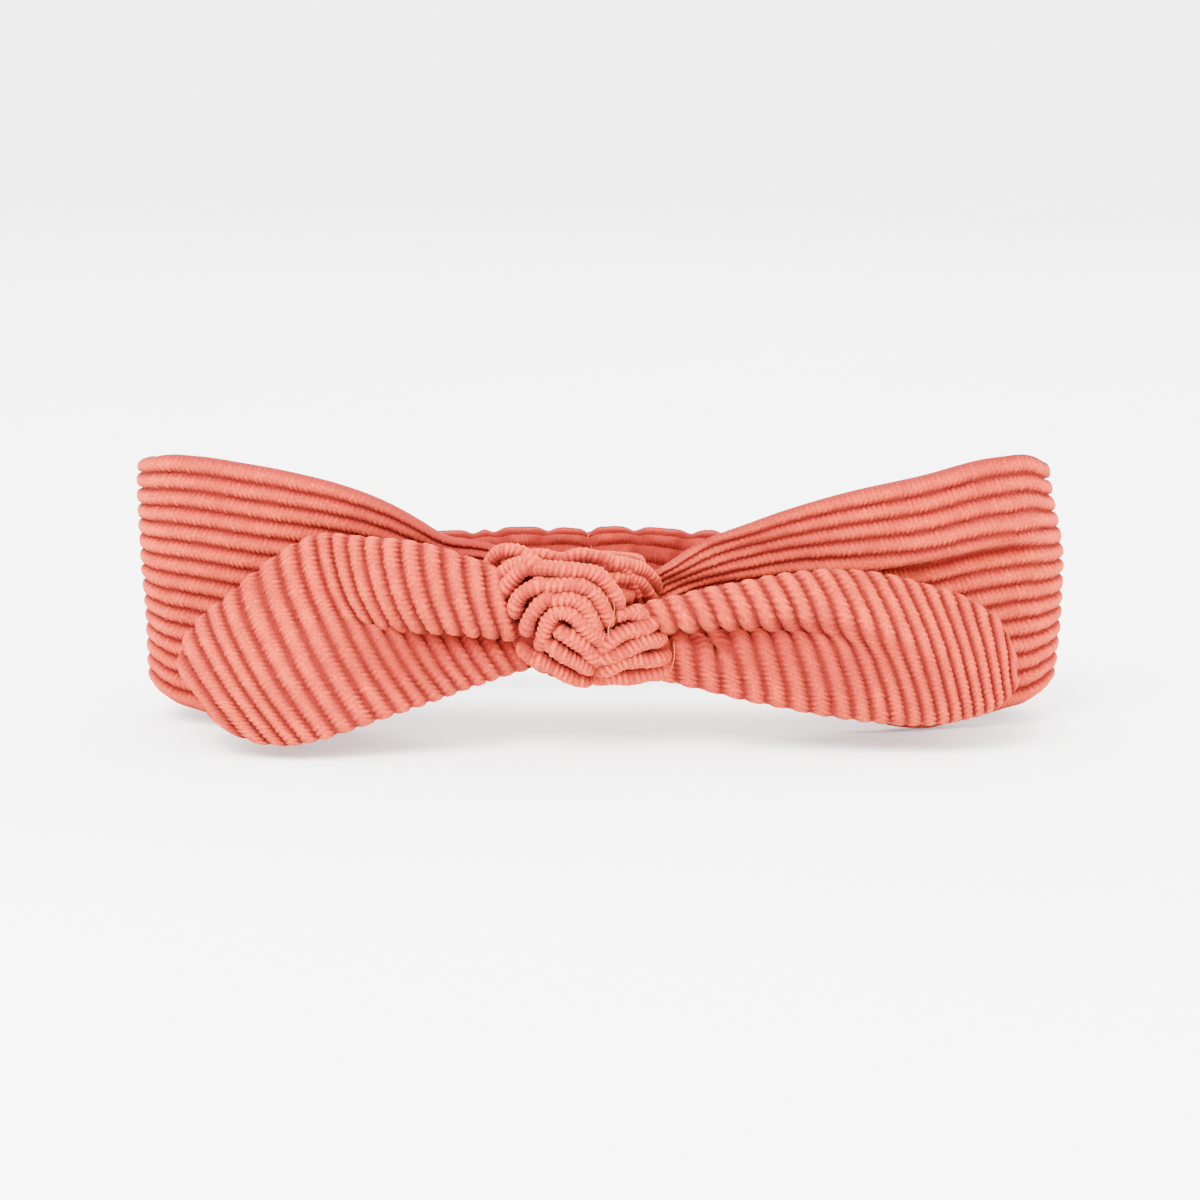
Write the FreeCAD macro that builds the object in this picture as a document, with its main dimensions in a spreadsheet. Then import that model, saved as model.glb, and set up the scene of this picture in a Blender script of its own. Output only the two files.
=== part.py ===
import FreeCAD, Part
import math
import os
import Sketcher

# Knotted spa headband. A wide double-layer band of rib fabric is gathered at the front, where a tie is
# knotted round it with two leaf-shaped tails, and its narrow ends meet an elastic casing at the back.
# It stands on its lower hem as an open loop: +Z up, the knot faces -Y, +X is the wearer's left.
# Seen from above, the loop is a flat leaf: two long arcs joined by a small fold arc at each side.

DIMENSIONS = {
    "front_radius": 392.5,        # long arcs, measured at the middle of the fabric
    "half_depth": 22.0,           # middle of the loop to the middle of the front or rear fabric
    "half_width": 110.5,          # middle of the loop to the outside of a side fold
    "layer_thickness": 2.3,       # one layer of padded rib fabric
    "layer_gap": 0.6,             # room between the two layers for the seams
    "band_height": 65.0,          # widest part of the band, near the folds
    "fold_bottom": 5.0,           # the hem rises this far round the side folds
    "fold_top": 61.0,             # height of the upper edge at the side folds
    "waist_bottom": 20.1,         # gathered band inside the knot
    "waist_height": 22.2,
    "waist_depth": 11.9,
    "knot_left": 22.0,            # the tie's loop reaches this far to the -X side of the centre
    "knot_right": 13.0,
    "wrap_thickness": 5.0,        # the tie where it goes round the band
    "wrap_clearance": 0.3,
    "core_width": 31.0,           # lump at the front of the knot
    "core_height": 32.0,
    "core_bulge": 10.5,
    "core_centre": -10.5,
    "strand_width": 11.6,         # last turn of the tie, beside the lump
    "strand_height": 20.0,
    "strand_depth": 6.0,
    "casing_half": 58.0,          # centre of the back to the end seam of the casing
    "casing_bottom": 16.6,
    "casing_height": 26.0,
    "casing_depth": 8.0,
    "casing_wall": 2.3,
    "back_seam": -2.6,            # the casing is closed a little to one side of the centre
    "elastic_width": 20.0,
    "elastic_thickness": 1.4,
    "thread": 0.3,
    "thread_inset": 1.6,
    "left_tail_length": 73.5,
    "left_tail_height": 32.7,     # middle of each tail where it leaves the knot
    "left_tail_root": 15.0,       # half heights of the tails
    "left_tail_wide": 20.8,
    "left_tail_droop": 31.0,      # degrees turned downwards between the knot and the tip
    "left_tail_tilt": 24.0,       # degrees that the lower edge stands forward
    "right_tail_length": 79.0,
    "right_tail_height": 26.2,
    "right_tail_root": 10.8,
    "right_tail_wide": 16.6,
    "right_tail_droop": 11.0,
    "right_tail_tilt": 17.0,
    "tail_depth": 35.0,           # middle of the loop to the middle of a tail
    "tail_gap": 0.4,
    "front_shift": 9.93,          # moves the whole part so that its box is centred on the origin
}

doc = FreeCAD.newDocument("spa_headband")
dims = doc.addObject("Spreadsheet::Sheet", "dims")
for row, (alias, value) in enumerate(DIMENSIONS.items(), start=1):
    dims.set(f"A{row}", alias)
    dims.set(f"B{row}", str(value))
    dims.setAlias(f"B{row}", alias)
doc.recompute()

sub_parts = []


def size(alias):
    return float(getattr(dims, alias))


def finish(shape_object, label):
    """Name a finished sub-part and put it in its place in the part's frame."""
    shape_object.Label = label
    shape_object.setExpression("Placement.Base.y", "dims.front_shift")
    sub_parts.append(shape_object)


# ---- the leaf-shaped plan of the loop -------------------------------------------------------------

RADIUS = size("front_radius")
ARC_CENTRE = RADIUS - size("half_depth")
LAYER = size("layer_thickness")
HALF_GAP = size("layer_gap") / 2
OUTSIDE = HALF_GAP + LAYER
MIDDLE_HALF_WIDTH = size("half_width") - OUTSIDE
# The fold arc touches both long arcs from inside: its centre is RADIUS - FOLD away from theirs.
FOLD = (RADIUS**2 - ARC_CENTRE**2 - MIDDLE_HALF_WIDTH**2) / (2 * (RADIUS - MIDDLE_HALF_WIDTH))
FOLD_CENTRE = MIDDLE_HALF_WIDTH - FOLD


def touch_angle():
    """Angle, from the -Y direction, at which a long arc hands over to the fold arc."""
    return math.atan2(FOLD_CENTRE, ARC_CENTRE)


def plan_edges(offset, side, front_x, rear_x):
    """Arcs of the fabric line at an offset from the middle, from the front end round to the rear."""
    big = RADIUS + offset
    small = FOLD + offset
    turn = touch_angle()
    front_angle = math.asin(front_x / big)
    rear_angle = math.asin(rear_x / big)
    down = -math.pi / 2

    def arc(centre_x, centre_y, radius, start, end):
        points = []
        for angle in (start, (start + end) / 2, end):
            x = side * (centre_x + radius * math.cos(angle))
            y = centre_y + radius * math.sin(angle)
            points.append(FreeCAD.Vector(x, y, 0))
        return Part.Arc(*points[::side]), points[0], points[2]

    return [
        arc(0, ARC_CENTRE, big, down + front_angle, down + turn),
        arc(FOLD_CENTRE, 0, small, down + turn, -down - turn),
        arc(0, -ARC_CENTRE, big, -down - turn, -down - rear_angle),
    ]


def own_plane(body, role):
    return [plane for plane in body.Origin.OriginFeatures if plane.Role == role][0]


def new_sketch(body, name, role):
    sketch = body.newObject("Sketcher::SketchObject", name)
    sketch.AttachmentSupport = [(own_plane(body, role), "")]
    sketch.MapMode = "FlatFace"
    return sketch


def edge_curve(points):
    """Smooth edge through a few points, level at both ends."""
    level = FreeCAD.Vector(points[-1][0] - points[0][0], 0, 0).normalize()
    vectors = [FreeCAD.Vector(x, z, 0) for x, z in points]
    curve = Part.BSplineCurve()
    curve.interpolate(Points=vectors, InitialTangent=level, FinalTangent=level)
    return curve


# Upper and lower edges of the band in front view, for the +X side: distance from the centre, height.
TOP = size("band_height")
START_TOP = size("waist_bottom") + size("waist_height")
CASING_TOP = size("casing_bottom") + size("casing_height")
BEYOND = size("half_width") + 2.0
FLAT_FRONT = 76.0
FLAT_REAR = 88.0
FLAT_END = 99.0
CLEAR_ABOVE = TOP + 10.0
CLEAR_BELOW = -10.0


def upper_front(start):
    return [(start, START_TOP), (40.0, 51.5), (62.0, 59.5), (92.0, TOP), (BEYOND, size("fold_top"))]


def upper_rear(start):
    return [(start, CASING_TOP), (72.0, 50.0), (94.0, TOP - 1.0), (BEYOND, size("fold_top"))]


def lower_front(start):
    return [(start, size("waist_bottom")), (42.0, 12.0), (60.0, 4.0), (FLAT_FRONT, 0.0)]


def lower_rear(start):
    return [(start, size("casing_bottom")), (73.0, 7.0), (FLAT_REAR, 0.0)]


LOWER_FOLD = [(FLAT_END, 0.0), (BEYOND, size("fold_bottom"))]


def waste(side, runs, rise, clear):
    """Closed outline between an edge, raised by rise, and a level that is clear of the fabric."""
    def line(start, end):
        return Part.LineSegment(FreeCAD.Vector(*start, 0), FreeCAD.Vector(*end, 0))

    outline = []
    end = None
    for run in runs:
        points = [(side * x, z + rise) for x, z in run]
        if end:
            outline.append(line(end, points[0]))
        else:
            first = points[0]
        outline.append(edge_curve(points))
        end = points[-1]
    corners = [end, (end[0], clear), (first[0] - side, clear), (first[0] - side, first[1]), first]
    for start, stop in zip(corners, corners[1:]):
        outline.append(line(start, stop))
    return outline


# Faces of the two layers and of the thread between them, as offsets from the middle of the fabric.
THREAD = size("thread")
FACES = {
    "outside": (OUTSIDE, "dims.layer_gap / 2 + dims.layer_thickness"),
    "under_outer": (HALF_GAP, "dims.layer_gap / 2"),
    "thread_front": (THREAD / 2, "dims.thread / 2"),
    "thread_back": (-THREAD / 2, "-dims.thread / 2"),
    "over_lining": (-HALF_GAP, "-dims.layer_gap / 2"),
    "inside": (-OUTSIDE, "-dims.layer_gap / 2 - dims.layer_thickness"),
}


def join_ends(sketch):
    """Tie each pair of curve ends that lie on the same point."""
    ends = []
    for index, curve in enumerate(sketch.Geometry):
        ends += [(index, 1, curve.StartPoint), (index, 2, curve.EndPoint)]
    for number, (first, first_end, point) in enumerate(ends):
        for second, second_end, other in ends[number + 1:]:
            if second != first and point.distanceToPoint(other) < 1e-6:
                sketch.addConstraint(
                    Sketcher.Constraint("Coincident", first, first_end, second, second_end))


def band_layer(label, side, faces, front_x, rear_x, above, below):
    """A folded strip of a band half between two faces, trimmed above and below to raised edges."""
    body = doc.addObject("PartDesign::Body", label + "_body")
    plan = new_sketch(body, label + "_plan", "XY_Plane")
    lines = []
    for face in faces:
        offset, formula = FACES[face]
        edges = plan_edges(offset, side, front_x, rear_x)
        lines.append(edges)
        for place, (curve, _, _) in enumerate(edges):
            index = plan.addGeometry(curve)
            if place != 1:
                name = f"{face}_{'front' if place == 0 else 'rear'}"
                radius = Sketcher.Constraint("Radius", index, RADIUS + offset)
                plan.renameConstraint(plan.addConstraint(radius), name)
                plan.setExpression(f"Constraints.{name}", f"dims.front_radius + ({formula})")
    for place, end in ((0, 1), (2, 2)):
        plan.addGeometry(Part.LineSegment(lines[0][place][end], lines[1][place][end]))
    join_ends(plan)
    pad = body.newObject("PartDesign::Pad", label + "_height")
    pad.Profile = plan
    pad.setExpression("Length", "dims.band_height + 5")
    doc.recompute()
    volume = pad.Shape.Volume
    trims = {"front": {"upper": [upper_front(front_x)], "lower": [lower_front(front_x), LOWER_FOLD]},
             "rear": {"upper": [upper_rear(rear_x)], "lower": [lower_rear(rear_x), LOWER_FOLD]}}
    for name, edges in trims.items():
        trim = new_sketch(body, f"{label}_{name}_edges", "XZ_Plane")
        for (edge, rise), clear in ((above, CLEAR_ABOVE), (below, CLEAR_BELOW)):
            for curve in waste(side, edges[edge], rise, clear):
                trim.addGeometry(curve)
        pocket = body.newObject("PartDesign::Pocket", f"{label}_{name}_trim")
        pocket.Profile = trim
        pocket.setExpression("Length", "2 * dims.half_depth")
        pocket.Reversed = name == "front"
        doc.recompute()
        if pocket.Shape.Volume >= volume - 1:
            raise RuntimeError(f"{label}: the {name} trim removes nothing")
        volume = pocket.Shape.Volume
    finish(body, label)


# ---- the two halves of the band -------------------------------------------------------------------

INSET = size("thread_inset")
ROW = INSET + 0.5
START = {"left": size("knot_left") + 0.3, "right": size("knot_right") + 0.3}
REAR = size("casing_half") + 1.0

for side_name, side in (("left", -1), ("right", 1)):
    span = (side, START[side_name], REAR)

    def layer(label, faces, above, below):
        band_layer(f"{side_name}_{label}", span[0], faces, span[1], span[2], above, below)

    layer("outer_panel", ("outside", "under_outer"), ("upper", 0), ("lower", 0))
    layer("lining", ("over_lining", "inside"), ("upper", 0), ("lower", 0))
    layer("top_seam_thread", ("thread_front", "thread_back"), ("upper", -INSET), ("upper", -ROW))
    layer("hem_seam_thread", ("thread_front", "thread_back"), ("lower", ROW), ("lower", INSET))


# ---- the elastic casing at the back ---------------------------------------------------------------

def back_strip(name, near, far, start, end, bottom, height):
    """A strip of the rear arc: near and far are offsets from the middle of the fabric."""
    cylinders = []
    for layer_name, offset in (("far", far), ("near", near)):
        cylinder = doc.addObject("Part::Cylinder", f"{name}_{layer_name}")
        cylinder.setExpression("Radius", f"dims.front_radius + ({offset})")
        cylinder.setExpression("Height", height)
        turns = [f"asin(({x}) / dims.front_radius)" for x in (end, start)]
        cylinder.setExpression("Angle", " - ".join(turns))
        cylinder.setExpression("Placement.Base.y", "dims.half_depth - dims.front_radius")
        cylinder.setExpression("Placement.Base.z", bottom)
        cylinder.setExpression("Placement.Rotation.Angle", f"90 deg - {turns[0]}")
        cylinders.append(cylinder)
    strip = doc.addObject("Part::Cut", name)
    strip.Base, strip.Tool = cylinders
    return strip


def casing_half(label, start, end):
    """A flat tube of rib fabric, open at both ends."""
    half = "dims.casing_depth / 2"
    tube = back_strip(label + "_outside", f"-{half}", half, start, end, "dims.casing_bottom",
                      "dims.casing_height")
    room = back_strip(label + "_room", f"dims.casing_wall - {half}", f"{half} - dims.casing_wall",
                      f"{start} - 1", f"{end} + 1", "dims.casing_bottom + dims.casing_wall",
                      "dims.casing_height - 2 * dims.casing_wall")
    casing = doc.addObject("Part::Cut", label + "_tube")
    casing.Base, casing.Tool = tube, room
    finish(casing, label)


casing_half("left_casing", "-dims.casing_half", "dims.back_seam - 0.2")
casing_half("right_casing", "dims.back_seam + 0.2", "dims.casing_half")

ELASTIC_BOTTOM = "dims.casing_bottom + (dims.casing_height - dims.elastic_width) / 2"
elastic = back_strip("elastic_strip", "-dims.elastic_thickness / 2", "dims.elastic_thickness / 2",
                     "0.5 - dims.casing_half", "dims.casing_half - 0.5", ELASTIC_BOTTOM, "dims.elastic_width")
finish(elastic, "elastic")

BACK_SEAM_ROWS = (("outer", "dims.elastic_thickness / 2 + 0.4", "dims.casing_depth / 2 - 0.6"),
                  ("inner", "0.6 - dims.casing_depth / 2", "-dims.elastic_thickness / 2 - 0.4"))
back_rows = [
    back_strip(f"back_seam_{row}", near, far, "dims.back_seam - 0.12", "dims.back_seam + 0.12",
               "dims.casing_bottom + 0.8", "dims.casing_height - 1.6")
    for row, near, far in BACK_SEAM_ROWS
]
back_seam = doc.addObject("Part::Compound", "back_seam_rows")
back_seam.Links = back_rows
finish(back_seam, "back_seam_thread")

for side_name, side in (("left", "-1"), ("right", "1")):
    limits = [f"{side} * (dims.casing_half + {extra})" for extra in (1.9, 2.5)]
    if side_name == "left":
        limits.reverse()
    seam = back_strip(f"{side_name}_end_seam", "-dims.thread / 2", "dims.thread / 2", *limits,
                      "dims.casing_bottom + 3", "dims.casing_height - 6")
    finish(seam, f"{side_name}_end_seam_thread")


# ---- the knot -------------------------------------------------------------------------------------

def rounded_box(name, corner, lengths, radius, edges):
    """A box with some edges rounded: corner and lengths are formulas for x, y and z."""
    box = doc.addObject("Part::Box", name + "_box")
    for axis, formula in zip("xyz", corner):
        box.setExpression(f"Placement.Base.{axis}", formula)
    for side_length, formula in zip(("Length", "Width", "Height"), lengths):
        box.setExpression(side_length, formula)
    doc.recompute()
    rounded = doc.addObject("Part::Fillet", name)
    rounded.Base = box
    rounded.Edges = [(number, radius, radius) for number in edges]
    return rounded


KNOT_WIDTH = "dims.knot_left + dims.knot_right"
ALONG_X = (9, 10, 11, 12)
WAIST_FRONT = "-dims.half_depth - dims.waist_depth / 2"
AROUND = "dims.wrap_clearance"
WRAP_GROW = "(dims.wrap_clearance + dims.wrap_thickness)"

waist = rounded_box("waist", ("-dims.knot_left", WAIST_FRONT, "dims.waist_bottom"),
                    (KNOT_WIDTH, "dims.waist_depth", "dims.waist_height"), 3.5, ALONG_X)
finish(waist, "gathered_waist")

wrap_outside = rounded_box(
    "wrap_outside", ("-dims.knot_left", f"{WAIST_FRONT} - {WRAP_GROW}", f"dims.waist_bottom - {WRAP_GROW}"),
    (KNOT_WIDTH, f"dims.waist_depth + 2 * {WRAP_GROW}", f"dims.waist_height + 2 * {WRAP_GROW}"), 8, ALONG_X)
wrap_room = rounded_box(
    "wrap_room", ("-dims.knot_left - 1", f"{WAIST_FRONT} - {AROUND}", f"dims.waist_bottom - {AROUND}"),
    (f"{KNOT_WIDTH} + 2", f"dims.waist_depth + 2 * {AROUND}", f"dims.waist_height + 2 * {AROUND}"),
    3.6, ALONG_X)
wrap = doc.addObject("Part::Cut", "wrap")
wrap.Base, wrap.Tool = wrap_outside, wrap_room
finish(wrap, "knot_wrap")

KNOT_FRONT = f"{WAIST_FRONT} - {WRAP_GROW} - 0.1"
KNOT_MIDDLE = "dims.waist_bottom + dims.waist_height / 2"
lump = doc.addObject("Part::Ellipsoid", "lump")
lump.setExpression("Radius1", "dims.core_height / 2")
lump.setExpression("Radius2", "dims.core_width / 2")
lump.setExpression("Radius3", "dims.core_bulge")
lump.setExpression("Placement.Base.x", "dims.core_centre")
lump.setExpression("Placement.Base.y", KNOT_FRONT)
lump.setExpression("Placement.Base.z", KNOT_MIDDLE)
behind = doc.addObject("Part::Box", "behind_lump")
behind.setExpression("Length", "2 * dims.core_width")
behind.setExpression("Width", "2 * dims.core_bulge")
behind.setExpression("Height", "2 * dims.core_height")
behind.setExpression("Placement.Base.x", "dims.core_centre - dims.core_width")
behind.setExpression("Placement.Base.y", KNOT_FRONT)
core = doc.addObject("Part::Cut", "core")
core.Base, core.Tool = lump, behind
finish(core, "knot_core")

STRAND_LEFT = "dims.core_centre + dims.core_width / 2 + 0.3"
strand = rounded_box(
    "strand", (STRAND_LEFT, f"{KNOT_FRONT} - dims.strand_depth", "dims.waist_bottom - 4.4"),
    ("dims.strand_width", "dims.strand_depth", "dims.strand_height"), 2.5, (1, 3, 5, 7, 9, 10, 11, 12))
finish(strand, "knot_strand")

tacks = []
STRAND_FRONT = f"{KNOT_FRONT} - dims.strand_depth"
TACK_SPOTS = (("upper", f"{STRAND_LEFT} - 1.2", f"{KNOT_FRONT} - 6", "dims.waist_bottom + 8", 9),
              ("lower", f"{STRAND_LEFT} + 9", f"{STRAND_FRONT} - 0.5", "dims.waist_bottom", 7))
for spot, x, y, z, length in TACK_SPOTS:
    tack = doc.addObject("Part::Cylinder", f"tack_{spot}")
    tack.setExpression("Radius", "dims.thread")
    tack.Height = length
    for axis, formula in zip("xyz", (x, y, z)):
        tack.setExpression(f"Placement.Base.{axis}", formula)
    tacks.append(tack)
tacking = doc.addObject("Part::Compound", "tacking")
tacking.Links = tacks
finish(tacking, "knot_tacking_thread")


# ---- the tails ------------------------------------------------------------------------------------

TAIL_STATIONS = (0.0, 0.15, 0.35, 0.55, 0.72, 0.86, 0.95, 1.0)


def tail_section(side_name, side, root_x, along, low, high, near, far):
    """A rectangle across a tail: low..high are shares of its half height, near..far its thickness."""
    droop = math.radians(size(f"{side_name}_tail_droop"))
    root = size(f"{side_name}_tail_root")
    wide = size(f"{side_name}_tail_wide")
    bend = size(f"{side_name}_tail_length") / droop
    turn = droop * along
    x = root_x + bend * math.sin(turn)
    z = size(f"{side_name}_tail_height") - bend * (1 - math.cos(turn))
    if along < 0.5:
        half = root + (wide - root) * math.sin(math.pi * along)
    else:
        half = wide * math.sqrt(1.03 - abs(2 * along - 1) ** 2.6)
    tilt = math.radians(size(f"{side_name}_tail_tilt")) * math.sin(math.pi / 2 * min(1, 2 * along))
    across = FreeCAD.Vector(math.sin(turn), 0, math.cos(turn))
    back = FreeCAD.Vector(0, 1, 0)
    upright = across * math.cos(tilt) + back * math.sin(tilt)
    forward = across * math.sin(tilt) - back * math.cos(tilt)
    middle = FreeCAD.Vector(x, -size("tail_depth"), z)
    corners = []
    for share, depth in ((low, near), (high, near), (high, far), (low, far)):
        point = middle + upright * half * share + forward * depth
        point.x *= side
        corners.append(point)
    return Part.makePolygon(corners + corners[:1])


def tail_layer(label, side_name, side, root_x, bands, near, far):
    """Solids lofted along a tail, one for each band of its height."""
    solids = []
    for low, high in bands:
        sections = [
            tail_section(side_name, side, root_x, along, low, high, near, far)
            for along in TAIL_STATIONS
        ]
        solids.append(Part.makeLoft(sections, True))
    layer = doc.addObject("Part::Feature", label)
    layer.Shape = solids[0] if len(solids) == 1 else Part.makeCompound(solids)
    finish(layer, label)


GAP = size("tail_gap") / 2
EDGE_ROWS = ((0.90, 0.93), (-0.93, -0.90))
LEFT_ROOT = size("core_width") / 2 - size("core_centre") + 0.8
RIGHT_ROOT = size("core_centre") + size("core_width") / 2 + 0.3 + size("strand_width") + 0.8
for side_name, side, root_x in (("left", -1, LEFT_ROOT), ("right", 1, RIGHT_ROOT)):
    whole = ((-1.0, 1.0),)
    tail_layer(f"{side_name}_tail_front", side_name, side, root_x, whole, GAP, GAP + LAYER)
    tail_layer(f"{side_name}_tail_back", side_name, side, root_x, whole, -GAP - LAYER, -GAP)
    tail_layer(f"{side_name}_tail_seam_thread", side_name, side, root_x, EDGE_ROWS, -0.1, 0.1)


# ---- check and write ------------------------------------------------------------------------------

doc.recompute()
for item in doc.Objects:
    if "Invalid" in item.State or "Error" in item.State:
        raise RuntimeError(f"{item.Name} failed: {item.State}")

os.makedirs("parts", exist_ok=True)
whole_box = FreeCAD.BoundBox()
for part in sub_parts:
    shape = part.Shape
    if shape.isNull() or not shape.isValid() or not shape.Solids:
        raise RuntimeError(f"{part.Label} has no valid solid")
    shape.exportStep(f"parts/{part.Label}.step")
    whole_box.add(shape.BoundBox)
print(f"{len(sub_parts)} sub-parts, box {whole_box}")
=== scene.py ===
import math

import bpy
import numpy as np
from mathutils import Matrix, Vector


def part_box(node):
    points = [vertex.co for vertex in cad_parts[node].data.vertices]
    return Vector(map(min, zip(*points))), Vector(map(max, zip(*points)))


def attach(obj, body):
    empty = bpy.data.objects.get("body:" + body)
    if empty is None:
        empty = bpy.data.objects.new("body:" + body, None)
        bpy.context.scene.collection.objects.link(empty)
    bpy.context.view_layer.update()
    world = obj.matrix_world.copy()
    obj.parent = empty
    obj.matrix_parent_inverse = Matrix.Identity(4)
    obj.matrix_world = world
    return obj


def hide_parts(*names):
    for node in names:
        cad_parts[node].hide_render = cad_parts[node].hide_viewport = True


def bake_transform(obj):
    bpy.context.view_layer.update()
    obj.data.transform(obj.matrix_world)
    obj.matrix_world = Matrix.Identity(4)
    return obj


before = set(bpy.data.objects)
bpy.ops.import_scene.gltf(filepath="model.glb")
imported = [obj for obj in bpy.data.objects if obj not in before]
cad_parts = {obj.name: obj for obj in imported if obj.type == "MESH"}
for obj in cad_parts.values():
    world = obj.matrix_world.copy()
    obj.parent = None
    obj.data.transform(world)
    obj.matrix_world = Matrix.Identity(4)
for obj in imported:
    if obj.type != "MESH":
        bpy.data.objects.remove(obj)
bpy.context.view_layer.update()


# ---- Camera, floor and studio light --------------------------------------------------------------
# A long lens a little above the band, square to the knot, as for a catalogue picture. The floor is
# plain and pale, and all light is broad and soft.

MM = 0.001
waist_low, waist_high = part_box("gathered_waist")
HALF_DEPTH = 22.0  # middle of the loop to its front fabric, mm
LOOP_Y = (waist_low.y + waist_high.y) / 2 / MM + HALF_DEPTH
CAMERA_RISE = math.radians(11.0)
CAMERA_DISTANCE = 717.0

camera_data = bpy.data.cameras.new("studio_camera")
camera_data.lens = 90.0
camera_data.sensor_width = 36.0
camera = bpy.data.objects.new("studio_camera", camera_data)
bpy.context.scene.collection.objects.link(camera)
aim = Vector((0.0, (LOOP_Y - 10.0) * MM, 30.6 * MM))
back = Vector((0.0, -math.cos(CAMERA_RISE), math.sin(CAMERA_RISE)))
camera.location = aim + back * CAMERA_DISTANCE * MM
camera.rotation_euler = (-back).to_track_quat("-Z", "Y").to_euler()
bpy.context.scene.camera = camera


def linear(colour):
    """An sRGB hex colour as the linear RGBA that the shaders take."""
    channels = [int(colour[i:i + 2], 16) / 255 for i in (1, 3, 5)]
    return [c / 12.92 if c <= 0.04045 else ((c + 0.055) / 1.055) ** 2.4 for c in channels] + [1.0]


def add_node(tree, kind, inputs=None, **settings):
    """One shader node with its settings; each input takes a value or another node's socket."""
    node = tree.nodes.new(kind)
    for name, value in settings.items():
        setattr(node, name, value)
    for name, value in (inputs or {}).items():
        socket = node.inputs[name]
        if isinstance(value, bpy.types.NodeSocket):
            tree.links.new(value, socket)
        else:
            socket.default_value = value
    return node


def new_material(name):
    """An empty node material and its shader, ready for the rest of its nodes."""
    material = bpy.data.materials.new(name)
    material.use_nodes = True
    return material, material.node_tree, material.node_tree.nodes["Principled BSDF"]


# Matt white paper. Its clouds are some 20 cm wide, far coarser than real fibres, and barely tint it.
paper, paper_tree, paper_shader = new_material("seamless_background_paper")
paper_shader.inputs["Roughness"].default_value = 0.9
paper_grain = add_node(paper_tree, "ShaderNodeTexNoise", {"Scale": 40.0, "Detail": 3.0})
paper_tone = add_node(paper_tree, "ShaderNodeMix", {"Factor": paper_grain.outputs["Fac"],
                      "A": linear("#FBFAF8"), "B": linear("#FFFFFF")}, data_type="RGBA")
paper_tree.links.new(paper_tone.outputs["Result"], paper_shader.inputs["Base Color"])

floor_mesh = bpy.data.meshes.new("floor")
floor_mesh.from_pydata([(-4, -3, 0), (4, -3, 0), (4, 6, 0), (-4, 6, 0)], [], [(0, 1, 2, 3)])
floor_mesh.materials.append(paper)
floor = bpy.data.objects.new("floor", floor_mesh)
bpy.context.scene.collection.objects.link(floor)


def soft_box(name, place, size, power, colour="#FFFFFF"):
    """A square area light that faces the middle of the band."""
    data = bpy.data.lights.new(name, "AREA")
    data.size = size
    data.energy = power
    data.color = linear(colour)[:3]
    light = bpy.data.objects.new(name, data)
    bpy.context.scene.collection.objects.link(light)
    light.location = place
    light.rotation_euler = (Vector((0, 0, 0.03)) - Vector(place)).to_track_quat("-Z", "Y").to_euler()


soft_box("key_light", (-0.45, -0.75, 1.1), 0.8, 60.0)
soft_box("fill_light", (0.8, -0.9, 0.5), 0.9, 14.0)
soft_box("back_light", (0.2, 1.0, 0.9), 0.9, 14.0)
world = bpy.data.worlds.new("studio_room")
world.use_nodes = True
world.node_tree.nodes["Background"].inputs["Color"].default_value = linear("#FFFFFF")
world.node_tree.nodes["Background"].inputs["Strength"].default_value = 5.0
bpy.context.scene.world = world


# ---- Band, outer layer ---------------------------------------------------------------------------
# The show side of the band: coral rib velour, a plush knit with a raised rib every 4.4 mm along the
# band. It is cut wide at the sides, gathered into the knot at the front and narrowed to the casing at
# the back, and sewn face to face with the lining and turned, so its edges roll over the seam.

ARC_RADIUS = 392.5  # the loop's two long arcs in plan, mm
ARC_CENTRE = ARC_RADIUS - HALF_DEPTH
LAYER = 2.6  # middle of the band to its outer face, mm
side_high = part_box("right_outer_panel")[1]
REACH = side_high.x / MM - LAYER  # middle of the loop to the middle of a fold, mm
FOLD = (ARC_RADIUS**2 - ARC_CENTRE**2 - REACH**2) / (2 * (ARC_RADIUS - REACH))
FOLD_CENTRE = REACH - FOLD
TURN = math.atan2(FOLD_CENTRE, ARC_CENTRE)
FRONT_RUN = ARC_RADIUS * TURN
FOLD_RUN = FOLD * (math.pi - 2 * TURN)
RIB_PITCH = 4.4  # middle of one rib to the next, lying flat, mm
TUFT = 1.2  # spacing of the tufts along a rib, mm
BAND_RIBS = {"left": 15, "right": 14}
POINTS_PER_RIB = 10
STEP = 0.275  # distance between rings along the band, mm
BAND_WIDTH = 60.0  # width of the band for the colour pattern, mm
FLAT_BACK = 0.3  # relief of a layer's plain back, for its shade


def smooth_curve(at, places, values):
    """Cubic pieces through a few values, each slope taken from the neighbours on both sides."""
    places = np.asarray(places, float)
    values = np.asarray(values, float)
    slopes = np.gradient(values, places, axis=0)
    at = np.clip(at, places[0], places[-1])
    piece = np.clip(np.searchsorted(places, at, side="right") - 1, 0, len(places) - 2)
    width = places[piece + 1] - places[piece]
    t = (at - places[piece]) / width
    if values.ndim > 1:
        width, t = width[..., None], t[..., None]
    start, end = values[piece], values[piece + 1]
    return (start * (1 + 2 * t) * (1 - t) ** 2 + slopes[piece] * width * t * (1 - t) ** 2
            + end * t * t * (3 - 2 * t) + slopes[piece + 1] * width * t * t * (t - 1))


def bump(x, middle, width):
    """A smooth hill of height 1: exp of minus the squared distance in widths."""
    return np.exp(-((x - middle) / width) ** 2)


def step_up(x, start, end):
    """0 before start, 1 after end, and an even S between them."""
    t = np.clip((x - start) / (end - start), 0, 1)
    return t * t * (3 - 2 * t)


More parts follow.
